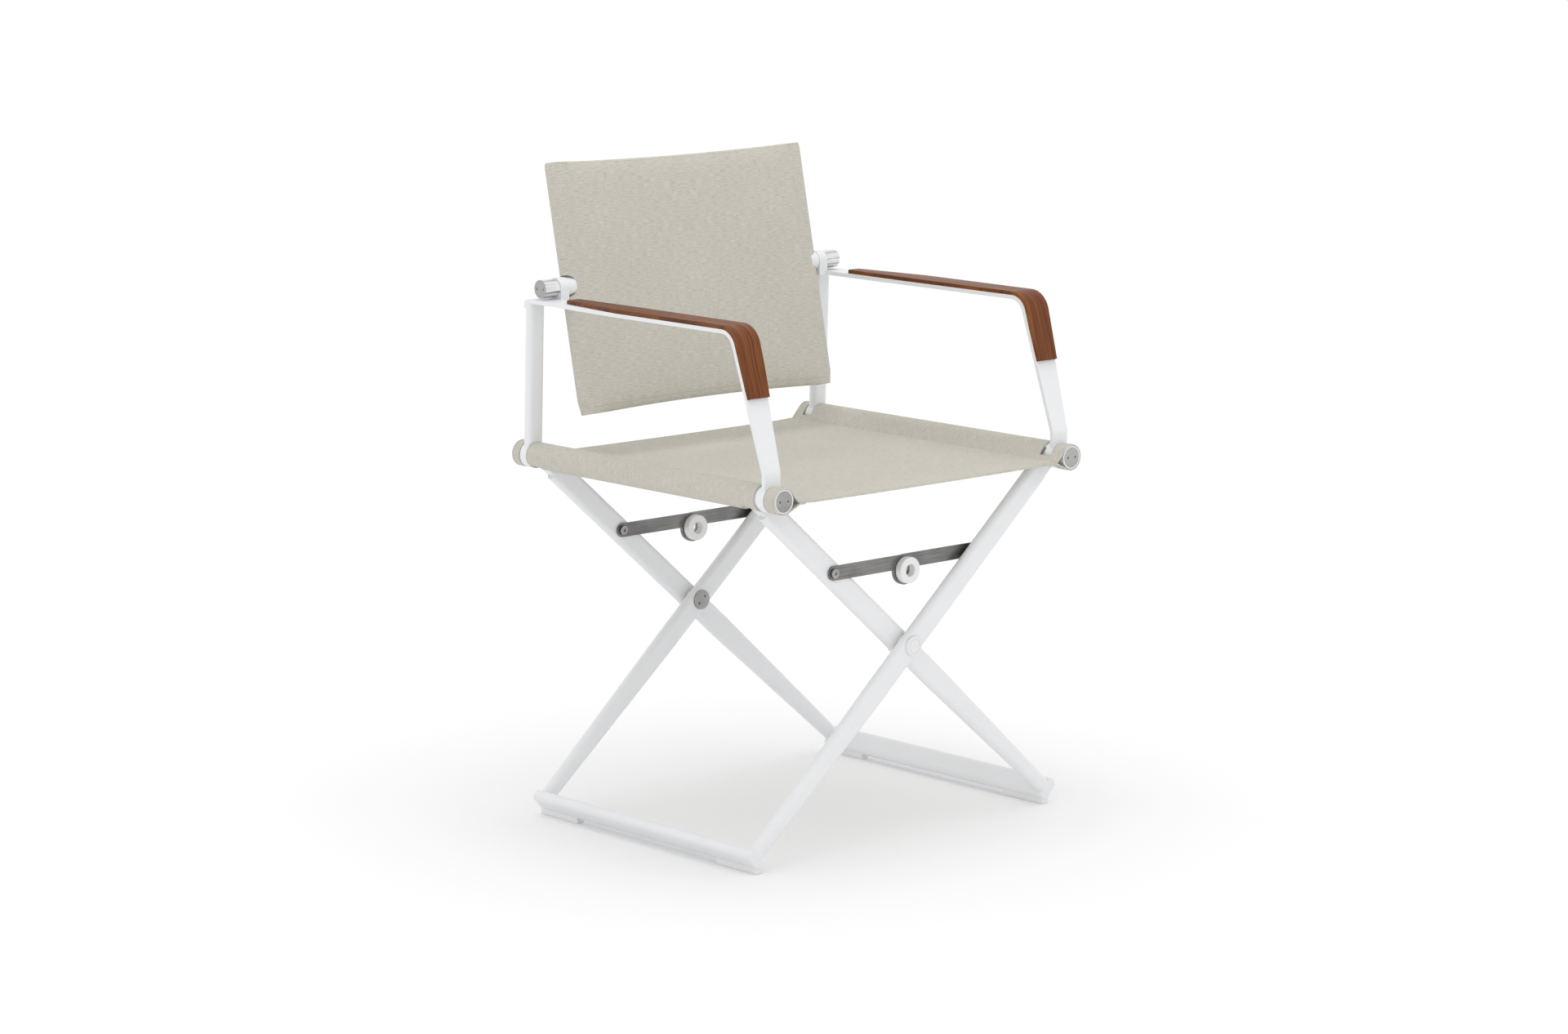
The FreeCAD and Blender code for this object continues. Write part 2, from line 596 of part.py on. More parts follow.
# ---------------------------------------------------------------- leg frame A
def on_leg(y, along):
    """Point on a leg axis of frame A, along from the foot bar axis."""
    return FOOT_A + LEG_UP * along + Y_DIR * y


def foot_core():
    """Outside of the foot bar, from the outer face of one leg to that of the other."""
    section = (LEG_SIDE, LEG_UP, LEG_W, LEG_T)
    bar = oval_bar(on_leg(FRONT_A - LEG_T / 2, 0), on_leg(REAR_A + LEG_T / 2, 0), *section)
    return bar.makeFillet(FOOT_END_R, [edge for edge in bar.Edges if edge.BoundBox.YLength < TINY])


def leg_core(y, trim):
    """Leg from the foot bar axis to the shoulder; trim makes the bore of the tube."""
    top = LEG_LENGTH - SHOULDER
    low = stadium(on_leg(y, 0), LEG_SIDE, Y_DIR, LEG_FOOT_W - trim, LEG_T - trim)
    high = stadium(on_leg(y, FLARE), LEG_SIDE, Y_DIR, LEG_W - trim, LEG_T - trim)
    flare = Part.makeLoft([low, high], True, True)
    straight = oval_bar(on_leg(y, FLARE), on_leg(y, top - trim), LEG_SIDE, Y_DIR, LEG_W - trim, LEG_T - trim)
    return fuse([flare, straight])


def foot_bar():
    """Foot bar, hollow and open into the bores of both legs."""
    bore = (LEG_SIDE, LEG_UP, LEG_W - 2 * LEG_WALL, LEG_T - 2 * LEG_WALL)
    end = LEG_T / 2 - LEG_WALL
    bar = foot_core().cut(oval_bar(on_leg(FRONT_A - end, 0), on_leg(REAR_A + end, 0), *bore))
    for y in (FRONT_A, REAR_A):
        bar = bar.cut(leg_core(y, 2 * LEG_WALL))
    return bar


def leg(y, pin_r):
    tube = leg_core(y, 0).cut(leg_core(y, 2 * LEG_WALL)).cut(foot_core())
    start = LEG_LENGTH - SHOULDER - LEG_WALL
    corner = on_leg(y - LEG_T / 2, start) - LEG_SIDE * (TONGUE_W / 2)
    base = [corner, corner + LEG_SIDE * TONGUE_W]
    base += [base[1] + Y_DIR * LEG_T, corner + Y_DIR * LEG_T]
    tongue = Part.Face(Part.makePolygon(base + base[:1])).extrude(LEG_UP * (LEG_LENGTH - start))
    eye = y_cylinder(EYE_R, RAIL_X, RAIL_HEIGHT, y - LEG_T / 2, y + LEG_T / 2)
    whole = fuse([tube, tongue, eye])
    blind = y - LEG_T / 2 + LEG_WALL
    holes = [(AXLE_R + RUN, RAIL_X, RAIL_HEIGHT, y - LEG_T), (pin_r, 0, CROSS_HEIGHT, y - LEG_T),
             (SCREW_R, STAY_PIVOT_X, STAY_HEIGHT, blind)]
    for radius, x, z, start_y in holes:
        whole = whole.cut(y_cylinder(radius, x, z, start_y, y + LEG_T))
    return whole


def foot_pads():
    """Glides under both ends of the foot bar, shaped to it."""
    bar = foot_core()
    lowest = FOOT_A - LEG_SIDE * ((LEG_W - LEG_T) / 2)
    ends = (FRONT_A - LEG_T / 2 + PAD_INSET, REAR_A + LEG_T / 2 - PAD_INSET - PAD_L)
    pads = []
    for y0 in ends:
        block = box(lowest.x - PAD_W / 2, lowest.x + PAD_W / 2, y0, y0 + PAD_L, 0, lowest.z)
        block = block.makeFillet(PAD_EDGE_R, [e for e in block.Edges if e.BoundBox.ZMax < TINY])
        pads.append(min(block.cut(bar).Solids, key=lambda solid: solid.CenterOfMass.z))
    return Part.makeCompound(pads)


# ---------------------------------------------------------------- cross pivots
def cross_pin_front():
    """Steel pin with a spanner disc on the inside of the chair."""
    face_y = INNER_FRONT_Y + FACE + PIN_HEAD_T
    disc = disc_with_holes(PIN_HEAD_R, PIN_HEAD_T, Vector(0, face_y, CROSS_HEIGHT), Y_DIR, LEG_UP)
    shank = y_cylinder(PIN_R, 0, CROSS_HEIGHT, OUTER_FRONT_Y, face_y - PIN_HEAD_T)
    return fuse([disc, shank])


def cross_pin_rear():
    face_y = REAR_A - LEG_T / 2 - PIN_HEAD_T
    disc = disc_with_holes(PIN_HEAD_R, PIN_HEAD_T, Vector(0, face_y, CROSS_HEIGHT), Y_DIR * -1, LEG_UP)
    shank = y_cylinder(PIN_R, 0, CROSS_HEIGHT, face_y + PIN_HEAD_T, OUTER_REAR_Y + FACE)
    return fuse([disc, shank])


def cap(y_face, outward):
    """Round cover on the outer end of a cross pin, with a turned ring in its face."""
    body = Part.makeCylinder(PIN_HEAD_R, CAP_T, Vector(0, y_face, CROSS_HEIGHT), Y_DIR * outward)
    y_outer = y_face + outward * CAP_T
    rim = [edge for edge in body.Edges if abs(edge.BoundBox.Center.y - y_outer) < TINY]
    body = body.makeFillet(CAP_EDGE_R, rim)
    y_groove = y_outer - outward * CAP_GROOVE_DEPTH
    groove = y_cylinder(CAP_GROOVE_R, 0, CROSS_HEIGHT, y_groove, y_outer)
    return body.cut(groove.cut(y_cylinder(CAP_GROOVE_R - CAP_GROOVE_W, 0, CROSS_HEIGHT, y_groove, y_outer)))


def cross_washer(y0):
    ring = y_cylinder(WASHER_R, 0, CROSS_HEIGHT, y0, y0 + WASHER_T)
    return ring.cut(y_cylinder(PIN_R, 0, CROSS_HEIGHT, y0, y0 + WASHER_T))


# ---------------------------------------------------------------- folding stays
def stay_bar(side, y0):
    """Flat bar from the leg pivot to the round lobe at the knuckle; side is -1 or 1 in X."""
    x_end = side * STAY_PIVOT_X
    end = y_cylinder(STAY_W / 2, x_end, STAY_HEIGHT, y0, y0 + STAY_T)
    middle = box(min(0, x_end), max(0, x_end), y0, y0 + STAY_T,
                 STAY_HEIGHT - STAY_W / 2, STAY_HEIGHT + STAY_W / 2)
    lobe = y_cylinder(LOBE_R, 0, KNUCKLE_HEIGHT, y0, y0 + STAY_T)
    bar = fuse([middle, end, lobe])
    for radius, x, z in ((SCREW_R + RUN, x_end, STAY_HEIGHT), (RING_HOLE_R, 0, KNUCKLE_HEIGHT)):
        bar = bar.cut(y_cylinder(radius, x, z, y0, y0 + STAY_T))
    return bar


def knuckle_ring(y0, y1, edge_r):
    """Plastic ring round the knuckle hole with softened outer edges."""
    ring = y_cylinder(RING_R, 0, KNUCKLE_HEIGHT, y0, y1)
    ring = ring.makeFillet(edge_r, [edge for edge in ring.Edges if edge.BoundBox.XLength > RING_R])
    return ring.cut(y_cylinder(RING_HOLE_R, 0, KNUCKLE_HEIGHT, y0, y1))


def stay_screw(x, y_far, y_near, y_head, outward):
    """Screw from the far wall of a leg to its head over the bar, with a shoulder from the near face."""
    shank = y_cylinder(SCREW_R, x, STAY_HEIGHT, min(y_far, y_head), max(y_far, y_head))
    head = Part.makeCylinder(SCREW_HEAD_R, SCREW_HEAD_T, Vector(x, y_head, STAY_HEIGHT), Y_DIR * outward)
    pieces = [shank, head]
    shoulder = abs(y_head - y_near) - STAY_T - 2 * FACE
    if shoulder > FACE:
        base = Vector(x, y_near, STAY_HEIGHT)
        pieces.append(Part.makeCylinder(SHOULDER_R, shoulder, base, Y_DIR * outward))
    corners = []
    for i in range(7):
        angle = math.radians(60 * i)
        corners.append(Vector(x + HEX_R * math.cos(angle), y_head + outward * SCREW_HEAD_T,
                              STAY_HEIGHT + HEX_R * math.sin(angle)))
    socket = Part.Face(Part.makePolygon(corners)).extrude(Y_DIR * (-outward * HEX_DEPTH))
    return fuse(pieces).cut(socket)


# ---------------------------------------------------------------- assembly
def side_nodes():
    """Left and right: the right side mirrors the left one, but its legs sit at frame B's places."""
    plain = {
        "rail_axle": rail_axle(),
        "rail_plugs": rail_plugs(),
        "rail_rings": rail_rings(),
        "arm_strip": arm_strip(),
        "rear_post": rear_post(),
        "armrest": armrest(),
        "back_lug": back_lug(),
        "back_bolt": back_bolt(),
        "seat_panel": seat_panel(),
        "back_bar": back_bar(),
        "back_collar": back_collar(),
        "back_pocket": back_pocket(),
        "back_panel": back_panel(),
    }
    nodes = {}
    for side, leg_places in (("_left", (FRONT_A, REAR_A)), ("_right", (FRONT_B, REAR_B))):
        shapes = {"rail": rail(leg_places), "seat_sleeve": seat_sleeve(leg_places)}
        shapes.update(plain)
        for name, shape in shapes.items():
            nodes[name + side] = shape if side == "_left" else mirrored(shape)
    return nodes


def frame_nodes():
    bar = foot_bar()
    pads = foot_pads()
    return {
        "foot_bar_a": bar,
        "foot_bar_b": turned(bar),
        "foot_glides_a": pads,
        "foot_glides_b": turned(pads),
        "front_leg_a": leg(FRONT_A, PIN_R),
        "rear_leg_a": leg(REAR_A, PIN_R),
        "front_leg_b": turned(leg(REAR_A, PIN_R + RUN)),
        "rear_leg_b": turned(leg(FRONT_A, PIN_R + RUN)),
    }


def pivot_nodes():
    return {
        "cross_pin_front": cross_pin_front(),
        "cross_pin_rear": cross_pin_rear(),
        "cross_cap_front": cap(OUTER_FRONT_Y, -1),
        "cross_cap_rear": cap(OUTER_REAR_Y + FACE, 1),
        "cross_washer_front": cross_washer(GAP_FRONT_Y),
        "cross_washer_rear": cross_washer(GAP_FRONT_Y + FRAME_DEPTH),
    }


def stay_nodes():
    nodes = {}
    screws_a, screws_b = [], []
    for end, shift in (("front", 0), ("rear", FRAME_DEPTH)):
        b, a = STAY_B_Y + shift, STAY_A_Y + shift
        nodes["stay_right_" + end] = stay_bar(-1, b)
        nodes["stay_left_" + end] = stay_bar(1, a)
        nodes["stay_ring_" + end] = knuckle_ring(b - RING_T, b, RING_EDGE_R)
        nodes["stay_flange_" + end] = knuckle_ring(a + STAY_T, a + STAY_T + FLANGE_T, FLANGE_EDGE_R)
        screws_b.append(stay_screw(-STAY_PIVOT_X, INNER_FRONT_Y - LEG_WALL + shift,
                                   FRONT_B - LEG_T / 2 + shift, b - FACE, -1))
        screws_a.append(stay_screw(STAY_PIVOT_X, OUTER_FRONT_Y + LEG_WALL + shift, GAP_FRONT_Y + shift,
                                   a + STAY_T + FACE, 1))
    nodes["stay_screws_a"] = Part.makeCompound(screws_a)
    nodes["stay_screws_b"] = Part.makeCompound(screws_b)
    return nodes


def main():
    os.makedirs("parts", exist_ok=True)
    nodes = {}
    for group in (side_nodes(), frame_nodes(), pivot_nodes(), stay_nodes()):
        nodes.update(group)
    for name, shape in nodes.items():
        if not shape.isValid():
            raise RuntimeError(name + " is not a valid shape")
        shape.exportStep("parts/" + name + ".step")
        print(name, len(shape.Solids), round(shape.Volume / 1000, 2), "cm3")


main()
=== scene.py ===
import bpy
import bmesh
import json
import math
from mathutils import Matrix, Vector


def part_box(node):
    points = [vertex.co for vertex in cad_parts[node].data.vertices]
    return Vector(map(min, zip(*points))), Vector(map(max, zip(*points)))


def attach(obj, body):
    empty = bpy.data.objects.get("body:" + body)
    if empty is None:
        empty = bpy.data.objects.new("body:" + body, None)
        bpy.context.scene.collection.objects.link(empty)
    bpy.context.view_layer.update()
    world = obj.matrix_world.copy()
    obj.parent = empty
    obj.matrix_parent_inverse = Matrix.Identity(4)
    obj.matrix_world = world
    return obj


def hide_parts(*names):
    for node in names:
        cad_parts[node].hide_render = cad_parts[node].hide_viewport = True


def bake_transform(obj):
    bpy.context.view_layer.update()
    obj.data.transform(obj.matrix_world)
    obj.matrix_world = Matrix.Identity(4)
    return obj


# Folding director chair: white frame, sling seat and back, wooden armrests.
# Metres, in the frame of the CAD model: +Z up, the chair faces -Y, +X is the sitter's left.

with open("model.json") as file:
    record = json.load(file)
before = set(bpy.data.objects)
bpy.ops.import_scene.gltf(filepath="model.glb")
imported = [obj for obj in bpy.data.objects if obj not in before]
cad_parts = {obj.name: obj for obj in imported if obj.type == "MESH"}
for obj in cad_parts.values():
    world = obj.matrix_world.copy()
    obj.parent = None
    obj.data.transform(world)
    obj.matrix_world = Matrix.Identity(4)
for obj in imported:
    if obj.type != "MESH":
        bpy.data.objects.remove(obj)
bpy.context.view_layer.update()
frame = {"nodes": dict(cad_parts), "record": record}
nodes = frame["nodes"]

# ---------------------------------------------------------------- camera
CAMERA_AT = (-3.7113, -4.0858, 1.3695)
CAMERA_YAW = 42.09           # degrees from +Y towards +X
CAMERA_PITCH = 10.08         # degrees below the horizon
CAMERA_LENS = 99.27          # millimetres on a 36 mm sensor
SENSOR = 36.0

# ---------------------------------------------------------------- studio
FLOOR_SIZE = 80.0
FLOOR_SHADE_RADIUS = 1.5             # radius over which the painted shade round the chair fades to full white
WORLD_LIGHT = 1.0
TOP_LIGHT = (0.05, -0.1, 3.4)
TOP_SIZE = 2.0
TOP_POWER = 14.0

# ---------------------------------------------------------------- cloth
CLOTH_T = 0.0017
THREAD_PITCH = 0.0019        # two warp threads
WEFT_SHARE = 1.15            # weft threads to each warp thread
SEAM_LIFT = 0.00085          # the two layers at the seam, above and below the seat's plane
TAIL = 0.010                 # loose end of the loop inside the seam
STEP_FINE = 0.002
STEP_ARC = math.radians(9)
STEP_WIDE = 0.012
STEP_Y = 0.010
SEAT_SAG = 0.0022            # middle of the seat below its seams
SEAT_CURL = 0.030            # width over which the seat rises to its seam
SLEEVE_ROOM = 0.0005
FRONT_RING_GAP = 0.0055      # front ring to the long sleeve behind it
REAR_RING_GAP = 0.0015       # long sleeve to the rear ring
SHORT_RING_GAP = 0.002       # rings to the short sleeves at the rail ends
LEG_SLOT_SIDE = 0.002        # room each side of a leg
SLOT_START = 0.0045          # seam to the slots round the rings
SLOT_CORNER = 0.003

BACK_LEAN = math.radians(11.9)
BACK_SIDE_R = 0.0099         # cloth round a side bar
BACK_BAR_EDGE = 0.0125       # bar axis to the side edge
BACK_MIDDLE_HALF = 0.0085    # half thickness of the envelope in the middle
BACK_HEM_HALF = 0.0016       # and at its sewn edges
BACK_HEM_WIDTH = 0.030       # height over which it closes
BACK_HOLLOW = 0.0015         # middle of the back behind its side bars
TOP_BOW = 0.0033             # middle of the top edge below its corners
BOTTOM_BOW = 0.0050          # middle of the bottom edge above its corners
BOTTOM_TAPER = (0.020, 0.0042)   # height and depth of the drawn-in bottom corners
TOP_ROUND = (0.006, 0.0025)      # and of the rounded top corners
NOTCH_R = 0.0142             # cut-out round a collar
NOTCH_DEPTH = 0.08           # length of its cutter, through both layers
HEM_FROM = 0.80              # share of the half width where the hems start to open to the bar
HEM_SPAN = 0.19

STITCH = (0.0024, 0.0040, 0.00032)   # length, pitch and radius of a stitch
HEM_BOTTOM = 0.0085          # stitch line above the bottom edge of the back
HEM_TOP = 0.0025
HEM_SEAT = 0.0030            # stitch lines inside the front and rear edges of the seat

# ---------------------------------------------------------------- places from the frame
rail_low, rail_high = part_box("rail_left")
RAIL_X = (rail_low.x + rail_high.x) / 2
RAIL_Z = (rail_low.z + rail_high.z) / 2
RAIL_R = (rail_high.x - rail_low.x) / 2
RAIL_FRONT, RAIL_REAR = rail_low.y, rail_high.y
seat_low, seat_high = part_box("seat_panel_left")
SEAM_X = seat_high.x
SEAM_Z = (seat_low.z + seat_high.z) / 2
bolt_low, bolt_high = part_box("back_bolt_left")
PIVOT = Vector((0, (bolt_low.y + bolt_high.y) / 2, (bolt_low.z + bolt_high.z) / 2))
BACK_UP = Vector((0, math.sin(BACK_LEAN), math.cos(BACK_LEAN)))
BACK_OUT = Vector((0, math.cos(BACK_LEAN), -math.sin(BACK_LEAN)))
pocket_low, pocket_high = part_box("back_pocket_left")
BACK_HALF_W = pocket_high.x
panel_low, panel_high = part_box("back_panel_left")


def along_back(z, out_half):
    """How far up the back a corner of its panel is, from its height."""
    return (z - PIVOT.z + out_half * math.sin(BACK_LEAN)) / math.cos(BACK_LEAN)


PANEL_HALF = ((panel_high.y - panel_low.y) - (panel_high.z - panel_low.z) * math.tan(BACK_LEAN)) / 2 * (
    math.cos(BACK_LEAN) / (1 - math.tan(BACK_LEAN) ** 2))
BACK_TOP = along_back(panel_high.z, -PANEL_HALF)
BACK_BOTTOM = along_back(panel_low.z, PANEL_HALF)
SIDES = ((1, "left"), (-1, "right"))


# ---------------------------------------------------------------- mesh helpers
def smooth(t):
    t = min(1.0, max(0.0, t))
    return t * t * (3 - 2 * t)


def span(a, b, step):
    """Even steps from a to b, b left out."""
    count = max(1, math.ceil(abs(b - a) / step - 1e-9))
    return [a + (b - a) * i / count for i in range(count)]


def link(name, mesh):
    obj = bpy.data.objects.new(name, mesh)
    bpy.context.scene.collection.objects.link(obj)
    return obj


def grid(name, rows, lengths_u, lengths_v):
    """Sheet from rows of points; its UV map holds real lengths in metres."""
    mesh = bpy.data.meshes.new(name)
    width = len(rows[0])
    points = [p for row in rows for p in row]
    faces = []
    for j in range(len(rows) - 1):
        for i in range(width - 1):
            k = i + 1
            faces.append((j * width + i, j * width + k, (j + 1) * width + k, (j + 1) * width + i))
    mesh.from_pydata(points, [], faces)
    layer = mesh.uv_layers.new(name="cloth")
    for face in mesh.polygons:
        for loop in face.loop_indices:
            vertex = mesh.loops[loop].vertex_index
            j, i = divmod(vertex, width)
            layer.data[loop].uv = (lengths_u[i], lengths_v[j])
    return link(name, mesh)


def settle(obj):
    """Applies the modifiers, so that the mesh is the final one."""
    graph = bpy.context.evaluated_depsgraph_get()
    mesh = bpy.data.meshes.new_from_object(obj.evaluated_get(graph))
    obj.modifiers.clear()
    obj.data = mesh


def thicken(obj, thickness):
    solid = obj.modifiers.new("solid", "SOLIDIFY")
    solid.thickness = thickness
    solid.offset = 0.0
    solid.use_even_offset = True
    settle(obj)


def cut(obj, cutters):
    for cutter in cutters:
        boolean = obj.modifiers.new("cut", "BOOLEAN")
        boolean.operation = "DIFFERENCE"
        boolean.object = cutter
        boolean.solver = "EXACT"
    settle(obj)
    for cutter in cutters:
        bpy.data.objects.remove(cutter)


def soften(obj, angle=40):
    for face in obj.data.polygons:
        face.use_smooth = True
    obj.data.set_sharp_from_angle(angle=math.radians(angle))


def block(low, high, corner=0.0):
    """Box cutter; corner rounds it."""
    build = bmesh.new()
    bmesh.ops.create_cube(build, size=1)
    for vertex in build.verts:
        vertex.co = Vector([low[i] if vertex.co[i] < 0 else high[i] for i in range(3)])
    if corner:
        bmesh.ops.bevel(build, geom=build.edges[:], offset=corner, segments=3, affect="EDGES", profile=0.5)
    mesh = bpy.data.meshes.new("cutter")
    build.to_mesh(mesh)
    build.free()
    return link("cutter", mesh)


def stitches(name, line, material):
    """Row of thread stitches: line holds (point, direction, outward) along the seam, one per stitch."""
    length, _, radius = STITCH
    ring = 6
    points, faces = [], []
    for place, ahead, outward in line:
        side = ahead.cross(outward).normalized()
        base = len(points)
        profile = ((-0.5, 0.35), (-0.25, 1.0), (0.25, 1.0), (0.5, 0.35))
        for reach, swell in profile:
            for k in range(ring):
                angle = 2 * math.pi * k / ring
                off = side * math.cos(angle) + outward * math.sin(angle)
                points.append(place + ahead * (reach * length) + off * (swell * radius))
        for row in range(len(profile) - 1):
            for k in range(ring):
                a, b = base + row * ring + k, base + row * ring + (k + 1) % ring
                faces.append((a, b, b + ring, a + ring))
        faces.append(tuple(base + k for k in reversed(range(ring))))
        faces.append(tuple(base + (len(profile) - 1) * ring + k for k in range(ring)))
    mesh = bpy.data.meshes.new(name)
    mesh.from_pydata(points, [], faces)
    obj = link(name, mesh)
    soften(obj, 60)
    obj.data.materials.append(material)
    return obj


# ---------------------------------------------------------------- materials
class Nodes:
    """Short way to build a node material."""

    def __init__(self, name):
        self.material = bpy.data.materials.new(name)
        self.material.use_nodes = True
        self.tree = self.material.node_tree
        self.shader = self.tree.nodes["Principled BSDF"]

    def add(self, kind, inputs=None, **settings):
        node = self.tree.nodes.new(kind)
        for key, value in settings.items():
            setattr(node, key, value)
        for key, value in (inputs or {}).items():
            self.feed(node.inputs[key], value)
        return node

    def feed(self, socket, value):
        if isinstance(value, bpy.types.NodeSocket):
            self.tree.links.new(value, socket)
        else:
            socket.default_value = value

    def maths(self, operation, a, b=0.0):
        node = self.add("ShaderNodeMath", {0: a, 1: b}, operation=operation)
        return node.outputs[0]

    def place(self, source, scale):
        node = self.add("ShaderNodeMapping", {"Vector": source, "Scale": scale})
        return node.outputs["Vector"]

    def noise(self, vector, scale=1.0, detail=2.0, rough=0.5, distortion=0.0):
        node = self.add("ShaderNodeTexNoise", {"Vector": vector, "Scale": scale, "Detail": detail,
                                               "Roughness": rough, "Distortion": distortion})
        return node.outputs["Fac"]

    def ramp(self, factor, stops):
        node = self.add("ShaderNodeValToRGB", {"Fac": factor})
        elements = node.color_ramp.elements
        while len(elements) < len(stops):
            elements.new(0.5)
        for element, (position, color) in zip(elements, stops):
            element.position = position
            element.color = (*color, 1)
        return node.outputs["Color"]

    def blend(self, kind, factor, a, b):
        node = self.add("ShaderNodeMix", data_type="RGBA", blend_type=kind)
        self.feed(node.inputs["Factor"], factor)
        self.feed(node.inputs[6], a if isinstance(a, bpy.types.NodeSocket) else (*a, 1))
        self.feed(node.inputs[7], b if isinstance(b, bpy.types.NodeSocket) else (*b, 1))
        return node.outputs[2]

    def range(self, value, low, high):
        node = self.add("ShaderNodeMapRange", {"Value": value, "To Min": low, "To Max": high})
        return node.outputs["Result"]

    def bump(self, height, strength, distance):
        node = self.add("ShaderNodeBump", {"Height": height, "Strength": strength, "Distance": distance})
        self.feed(self.shader.inputs["Normal"], node.outputs["Normal"])

    def coordinates(self, output="Object"):
        return self.add("ShaderNodeTexCoord").outputs[output]

    def finish(self, **values):
        for key, value in values.items():
            self.feed(self.shader.inputs[key.replace("_", " ")], value)
        return self.material


def cloth_material(name):
    """Plain weave with slubs; the UV map is in metres, u along the weft."""
    n = Nodes(name)
    uv = n.add("ShaderNodeUVMap", uv_map="cloth").outputs["UV"]
    split = n.add("ShaderNodeSeparateXYZ", {"Vector": uv})
    turn = 2 * math.pi / THREAD_PITCH
    warp = n.maths("SINE", n.maths("MULTIPLY", split.outputs["X"], turn))
    weft = n.maths("SINE", n.maths("MULTIPLY", split.outputs["Y"], turn * WEFT_SHARE))
    weave = n.range(n.maths("MULTIPLY", warp, weft), 0.0, 1.0)
    weave.node.inputs["From Min"].default_value = -1.0
    streak = n.noise(n.place(uv, (90, 1150, 1)), detail=3.0, rough=0.6)
    upright = n.noise(n.place(uv, (1000, 60, 1)), detail=2.0, rough=0.6)
    cloud = n.noise(n.place(uv, (9, 9, 1)), detail=2.0)
    fleck = n.noise(n.place(uv, (700, 700, 1)), detail=1.0)
    dark, middle, light = (0.50, 0.475, 0.415), (0.622, 0.598, 0.535), (0.725, 0.70, 0.64)
    color = n.ramp(streak, [(0.28, dark), (0.5, middle), (0.74, light)])
    color = n.blend("MULTIPLY", 0.25, color, n.ramp(upright, [(0.3, (0.72, 0.72, 0.70)), (0.62, (1, 1, 1))]))
    color = n.blend("MULTIPLY", 0.30, color, n.ramp(weave, [(0.0, (0.70, 0.69, 0.66)), (0.7, (1, 1, 1))]))
    color = n.blend("MULTIPLY", 0.18, color, n.ramp(fleck, [(0.35, (0.6, 0.58, 0.53)), (0.6, (1, 1, 1))]))
    color = n.blend("MULTIPLY", 0.22, color, n.ramp(cloud, [(0.35, (0.86, 0.86, 0.85)), (0.65, (1, 1, 1))]))
    height = n.maths("ADD", n.maths("MULTIPLY", weave, 0.7), n.maths("MULTIPLY", streak, 0.9))
    n.bump(n.maths("ADD", height, n.maths("MULTIPLY", upright, 0.4)), 0.45, 0.0005)
    return n.finish(Base_Color=color, Roughness=n.range(streak, 0.86, 0.96), Specular_IOR_Level=0.08)


def coat_material(name, color=(0.80, 0.815, 0.83), grain=2200.0, gloss=(0.36, 0.46)):
    """Powder coat or moulded plastic: faint orange peel and uneven gloss."""
    n = Nodes(name)
    place = n.coordinates()
    fine = n.noise(place, grain, 2.0)
    wide = n.noise(place, 14.0, 2.0)
    tint = n.ramp(wide, [(0.3, tuple(c * 0.975 for c in color)), (0.7, color)])
    n.bump(fine, 0.06, 0.0002)
    return n.finish(Base_Color=tint, Roughness=n.range(n.noise(place, 120.0, 3.0), *gloss))


def steel_material(name, stretch, dark, light, gloss=(0.24, 0.42)):
    """Brushed steel: fine streaks along the direction in which stretch is small."""
    n = Nodes(name)
    place = n.coordinates()
    brushed = n.noise(n.place(place, stretch), 1.0, 4.0, 0.65)
    wide = n.noise(n.place(place, (18, 18, 18)), 1.0, 2.0)
    color = n.ramp(brushed, [(0.3, dark), (0.7, light)])
    color = n.blend("MULTIPLY", 0.55, color, n.ramp(wide, [(0.38, (0.45, 0.44, 0.43)), (0.6, (1, 1, 1))]))
    n.bump(brushed, 0.12, 0.0002)
    return n.finish(Base_Color=color, Roughness=n.range(brushed, *gloss), Metallic=1.0)


def turned_material(name):
    """Turned knob: a dull end face, and bright sides with lines along the axis X."""
    n = Nodes(name)
    place = n.coordinates()
    normal = n.add("ShaderNodeSeparateXYZ", {"Vector": n.coordinates("Normal")})
    end = n.ramp(n.maths("ABSOLUTE", normal.outputs["X"]), [(0.6, (0, 0, 0)), (0.8, (1, 1, 1))])
    sides = n.noise(n.place(place, (8, 330, 330)), 1.0, 3.0, 0.6)
    rings = n.noise(n.place(place, (900, 60, 60)), 1.0, 2.0)
    bright = n.ramp(sides, [(0.36, (0.34, 0.34, 0.35)), (0.5, (0.80, 0.80, 0.81)), (0.7, (0.95, 0.95, 0.95))])
    bright = n.blend("MULTIPLY", 0.3, bright, n.ramp(rings, [(0.4, (0.6, 0.6, 0.6)), (0.6, (1, 1, 1))]))
    dull = n.ramp(n.noise(n.place(place, (1, 900, 900)), 1.0, 3.0), [(0.3, (0.34, 0.34, 0.335)),
                                                                     (0.7, (0.46, 0.46, 0.455))])
    n.bump(sides, 0.15, 0.0002)
    color = n.blend("MIX", end, bright, dull)
    return n.finish(Base_Color=color, Roughness=n.range(sides, 0.16, 0.34), Metallic=1.0)


